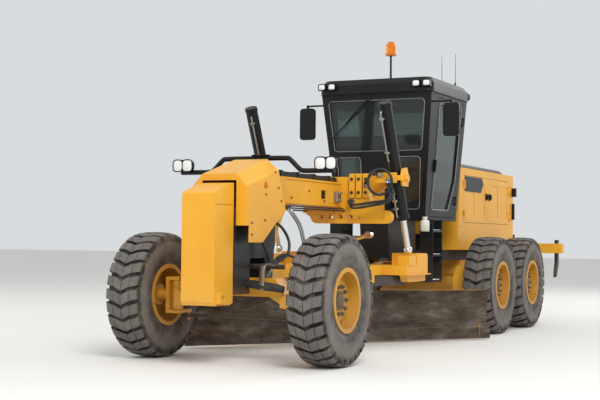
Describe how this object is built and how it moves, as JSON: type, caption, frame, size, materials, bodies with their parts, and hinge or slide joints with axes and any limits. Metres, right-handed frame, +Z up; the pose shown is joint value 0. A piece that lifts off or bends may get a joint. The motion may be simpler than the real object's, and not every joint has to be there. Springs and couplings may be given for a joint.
{
  "type": "motor grader",
  "caption": "Articulated motor grader with leaning steered front wheels, drawn blade on a turning circle, cab, engine hood, tandem drive wheels and rear ripper.",
  "frame": {"origin": "on the ground under the centre of the machine's length and width", "axes": "+X forward, +Y to the machine's left, +Z up"},
  "size_m": [10.0079, 2.7964, 3.9445],
  "materials": {
    "tyre": "dusty",
    "yellow_paint": "semi gloss",
    "dark_paint": "satin",
    "black_paint": "satin",
    "window_glass": "clear",
    "amber_lens": "clear",
    "seat_fabric": "matte",
    "bare_steel": "machined",
    "blade_steel": "worn",
    "chrome_rod": "polished"
  },
  "bodies": {
    "front": {"front_frame": "yellow_paint", "front_weight": "yellow_paint", "nose_cover": "yellow_paint", "front_axle": "yellow_paint", "headlamps": "black_paint", "lift_saddle": "yellow_paint", "cab_shell": "black_paint", "cab_glass": "window_glass", "cab_seat": "seat_fabric", "mirrors": "black_paint", "steps": "black_paint", "beam_cover": "black_paint", "beacon": "amber_lens"},
    "rear": {"rear_frame": "dark_paint", "engine": "dark_paint", "hood": "yellow_paint", "tandems": "yellow_paint", "hood_trim": "black_paint"},
    "lean_l": {"lean_bracket_l": "yellow_paint"},
    "lean_r": {"lean_bracket_r": "yellow_paint"},
    "steer_l": {"knuckle_l": "yellow_paint"},
    "steer_r": {"knuckle_r": "yellow_paint"},
    "tie_end": {"tie_end": "bare_steel"},
    "tie_rod": {"tie_rod": "dark_paint"},
    "lean_bar": {"lean_bar": "dark_paint"},
    "wheel_fl": {"tyre_fl": "tyre", "rim_fl": "yellow_paint"},
    "wheel_fr": {"tyre_fr": "tyre", "rim_fr": "yellow_paint"},
    "wheel_ml": {"tyre_ml": "tyre", "rim_ml": "yellow_paint"},
    "wheel_mr": {"tyre_mr": "tyre", "rim_mr": "yellow_paint"},
    "wheel_rl": {"tyre_rl": "tyre", "rim_rl": "yellow_paint"},
    "wheel_rr": {"tyre_rr": "tyre", "rim_rr": "yellow_paint"},
    "door_l": {"cab_door_l": "black_paint", "door_glass_l": "window_glass"},
    "door_r": {"cab_door_r": "black_paint", "door_glass_r": "window_glass"},
    "swivel": {"drawbar_ball": "bare_steel"},
    "drawbar": {"drawbar": "yellow_paint"},
    "circle": {"circle_ring": "dark_paint"},
    "blade_tilt": {"blade_tilt": "dark_paint"},
    "moldboard": {"moldboard": "blade_steel"},
    "lift_yoke_l": {"lift_yoke_l": "yellow_paint"},
    "lift_yoke_r": {"lift_yoke_r": "yellow_paint"},
    "lift_barrel_l": {"lift_barrel_l": "black_paint"},
    "lift_barrel_r": {"lift_barrel_r": "black_paint"},
    "lift_rod_l": {"lift_rod_l": "chrome_rod"},
    "lift_rod_r": {"lift_rod_r": "chrome_rod"},
    "shift_barrel": {"shift_barrel": "yellow_paint"},
    "shift_rod": {"shift_rod": "chrome_rod"},
    "hood_door_fl": {"hood_door_fl": "yellow_paint"},
    "hood_door_rl": {"hood_door_rl": "yellow_paint"},
    "hood_door_fr": {"hood_door_fr": "yellow_paint"},
    "hood_door_rr": {"hood_door_rr": "yellow_paint"},
    "ripper_arms": {"ripper_arms": "dark_paint"},
    "ripper": {"ripper": "yellow_paint"}
  },
  "joints": [
    {"name": "articulation", "type": "hinge", "parent": "front", "child": "rear", "pos_m": [-0.621, 0, 1.27], "axis": [0, 0, 1], "range_deg": [-20, 20]},
    {"name": "wheel_lean", "type": "hinge", "parent": "front", "child": "lean_l", "pos_m": [4.129, 0.6, 0.64], "axis": [-1, 0, 0], "range_deg": [-18, 18]},
    {"name": "wheel_lean_r", "type": "hinge", "parent": "front", "child": "lean_r", "pos_m": [4.129, -0.6, 0.64], "axis": [-1, 0, 0], "range_deg": [-18, 18]},
    {"name": "lean_bar_pivot", "type": "hinge", "parent": "lean_l", "child": "lean_bar", "pos_m": [4.129, 0.6, 1], "axis": [-1, 0, 0], "range_deg": [-18, 18]},
    {"name": "steering", "type": "hinge", "parent": "lean_l", "child": "steer_l", "pos_m": [4.129, 0.765, 0.675], "axis": [0, 0, 1], "range_deg": [-47.5, 47.5]},
    {"name": "steering_r", "type": "hinge", "parent": "lean_r", "child": "steer_r", "pos_m": [4.129, -0.765, 0.675], "axis": [0, 0, 1], "range_deg": [-47.5, 47.5]},
    {"name": "tie_end_turn", "type": "hinge", "parent": "steer_l", "child": "tie_end", "pos_m": [3.899, 0.765, 0.445], "axis": [0, 0, 1], "range_deg": [-47.5, 47.5]},
    {"name": "tie_rod_tilt", "type": "hinge", "parent": "tie_end", "child": "tie_rod", "pos_m": [3.899, 0.765, 0.445], "axis": [-1, 0, 0], "range_deg": [-18, 18]},
    {"name": "wheel_fl_spin", "type": "hinge", "parent": "steer_l", "child": "wheel_fl", "pos_m": [4.129, 1.055, 0.675], "axis": [0, 1, 0], "continuous": true},
    {"name": "wheel_fr_spin", "type": "hinge", "parent": "steer_r", "child": "wheel_fr", "pos_m": [4.129, -1.055, 0.675], "axis": [0, 1, 0], "continuous": true},
    {"name": "wheel_ml_spin", "type": "hinge", "parent": "rear", "child": "wheel_ml", "pos_m": [-1.2325, 1.055, 0.675], "axis": [0, 1, 0], "continuous": true},
    {"name": "wheel_mr_spin", "type": "hinge", "parent": "rear", "child": "wheel_mr", "pos_m": [-1.2325, -1.055, 0.675], "axis": [0, 1, 0], "continuous": true},
    {"name": "wheel_rl_spin", "type": "hinge", "parent": "rear", "child": "wheel_rl", "pos_m": [-2.7555, 1.055, 0.675], "axis": [0, 1, 0], "continuous": true},
    {"name": "wheel_rr_spin", "type": "hinge", "parent": "rear", "child": "wheel_rr", "pos_m": [-2.7555, -1.055, 0.675], "axis": [0, 1, 0], "continuous": true},
    {"name": "drawbar_swing", "type": "hinge", "parent": "front", "child": "swivel", "pos_m": [3.679, 0, 0.935], "axis": [0, 0, -1], "range_deg": [-13, 13]},
    {"name": "drawbar_lift", "type": "hinge", "parent": "swivel", "child": "drawbar", "pos_m": [3.679, 0, 0.935], "axis": [0, 1, 0], "range_deg": [-17.5, 10]},
    {"name": "circle_turn", "type": "hinge", "parent": "drawbar", "child": "circle", "pos_m": [1.449, 0, 0.8], "axis": [0, 0, 1], "continuous": true},
    {"name": "blade_tip", "type": "hinge", "parent": "circle", "child": "blade_tilt", "pos_m": [1.25616, -0.22981, 0.23], "axis": [-0.766, 0.6428, 0], "range_deg": [-5, 40]},
    {"name": "blade_side_shift", "type": "slide", "parent": "blade_tilt", "child": "moldboard", "axis": [-0.766, 0.6428, 0], "range_m": [-0.5, 0.5]},
    {"name": "lift_yoke_l_swing", "type": "hinge", "parent": "front", "child": "lift_yoke_l", "pos_m": [1.919, 0.88, 2.02], "axis": [1, 0, 0], "range_deg": [-30, 30]},
    {"name": "lift_barrel_l_swing", "type": "hinge", "parent": "lift_yoke_l", "child": "lift_barrel_l", "pos_m": [1.919, 0.88, 2.02], "axis": [0, 1, 0], "range_deg": [-10, 6]},
    {"name": "lift_rod_l_slide", "type": "slide", "parent": "lift_barrel_l", "child": "lift_rod_l", "axis": [-0.4163, 0, -0.9092], "range_m": [-0.37, 0.65]},
    {"name": "lift_yoke_r_swing", "type": "hinge", "parent": "front", "child": "lift_yoke_r", "pos_m": [1.919, -0.88, 2.02], "axis": [1, 0, 0], "range_deg": [-30, 30]},
    {"name": "lift_barrel_r_swing", "type": "hinge", "parent": "lift_yoke_r", "child": "lift_barrel_r", "pos_m": [1.919, -0.88, 2.02], "axis": [0, 1, 0], "range_deg": [-10, 6]},
    {"name": "lift_rod_r_slide", "type": "slide", "parent": "lift_barrel_r", "child": "lift_rod_r", "axis": [-0.4163, 0, -0.9092], "range_m": [-0.37, 0.65]},
    {"name": "shift_barrel_swing", "type": "hinge", "parent": "drawbar", "child": "shift_barrel", "pos_m": [2.079, -0.425, 1.045], "axis": [1, 0, 0], "range_deg": [-6.5, 6.5]},
    {"name": "shift_rod_slide", "type": "slide", "parent": "shift_barrel", "child": "shift_rod", "axis": [0, 0.9588, 0.284], "range_m": [-0.25, 0.25]},
    {"name": "cab_door_l_swing", "type": "hinge", "parent": "front", "child": "door_l", "pos_m": [-0.824, 0.64593, 1.55852], "axis": [0, 0.0924, 0.9957], "range_deg": [0, 85]},
    {"name": "cab_door_r_swing", "type": "hinge", "parent": "front", "child": "door_r", "pos_m": [-0.824, -0.64593, 1.55852], "axis": [0, -0.0924, 0.9957], "range_deg": [-85, 0]},
    {"name": "hood_door_fl_swing", "type": "hinge", "parent": "rear", "child": "hood_door_fl", "pos_m": [-1.548, 0.566, 1.9], "axis": [0, 0, -1], "range_deg": [0, 85]},
    {"name": "hood_door_rl_swing", "type": "hinge", "parent": "rear", "child": "hood_door_rl", "pos_m": [-3.824, 0.566, 1.9], "axis": [0, 0, 1], "range_deg": [0, 85]},
    {"name": "hood_door_fr_swing", "type": "hinge", "parent": "rear", "child": "hood_door_fr", "pos_m": [-1.548, -0.566, 1.9], "axis": [0, 0, -1], "range_deg": [-85, 0]},
    {"name": "hood_door_rr_swing", "type": "hinge", "parent": "rear", "child": "hood_door_rr", "pos_m": [-3.824, -0.566, 1.9], "axis": [0, 0, 1], "range_deg": [-85, 0]},
    {"name": "ripper_lift", "type": "hinge", "parent": "rear", "child": "ripper_arms", "pos_m": [-4.221, 0, 0.855], "axis": [0, 1, 0], "range_deg": [-95, 0]},
    {"name": "ripper_level", "type": "hinge", "parent": "ripper_arms", "child": "ripper", "pos_m": [-4.78392, 0, 1.18], "axis": [0, 1, 0], "range_deg": [0, 95]}
  ],
  "couplings": [
    {"joint": "wheel_lean_r", "follows": "wheel_lean", "ratio": 1},
    {"joint": "lean_bar_pivot", "follows": "wheel_lean", "ratio": -1},
    {"joint": "steering_r", "follows": "steering", "ratio": 1},
    {"joint": "tie_end_turn", "follows": "steering", "ratio": -1},
    {"joint": "tie_rod_tilt", "follows": "wheel_lean", "ratio": -0.7843},
    {"joint": "ripper_level", "follows": "ripper_lift", "ratio": -1},
    {"joint": "shift_barrel_swing", "follows": "drawbar_swing", "ratio": 0.46},
    {"joint": "shift_rod_slide", "follows": "drawbar_swing", "m_per_rad": -1.0578},
    {"joint": "lift_yoke_l_swing", "follows": "drawbar_swing", "ratio": 2.3},
    {"joint": "lift_barrel_l_swing", "follows": "drawbar_lift", "ratio": 0.56},
    {"joint": "lift_rod_l_slide", "follows": "drawbar_lift", "m_per_rad": -2.1085},
    {"joint": "lift_yoke_r_swing", "follows": "drawbar_swing", "ratio": 2.3},
    {"joint": "lift_barrel_r_swing", "follows": "drawbar_lift", "ratio": 0.56},
    {"joint": "lift_rod_r_slide", "follows": "drawbar_lift", "m_per_rad": -2.1085}
  ]
}
